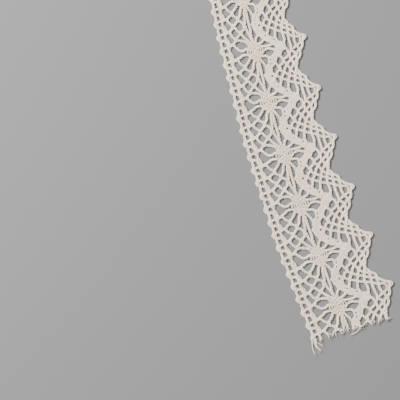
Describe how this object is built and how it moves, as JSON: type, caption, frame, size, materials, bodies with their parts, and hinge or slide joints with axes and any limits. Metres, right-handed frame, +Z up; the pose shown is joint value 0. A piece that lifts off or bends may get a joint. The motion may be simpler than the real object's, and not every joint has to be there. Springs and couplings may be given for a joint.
{
  "type": "cut length of lace trim",
  "caption": "Flat cut length of cotton bobbin lace edging with a row of spiders, a cloth trail, a picot edge and a pointed edge, frayed at one cut.",
  "frame": {"origin": "middle of the underside of the strip as it lies flat", "axes": "+Z up through the sheet, +Y along the strip away from the frayed end, +X towards the pointed edge"},
  "size_m": [0.066, 0.2525, 0.0012],
  "materials": {
    "cotton": "matt unbleached cotton thread"
  },
  "bodies": {
    "root": {"lace_trim": "cotton"}
  },
  "joints": []
}
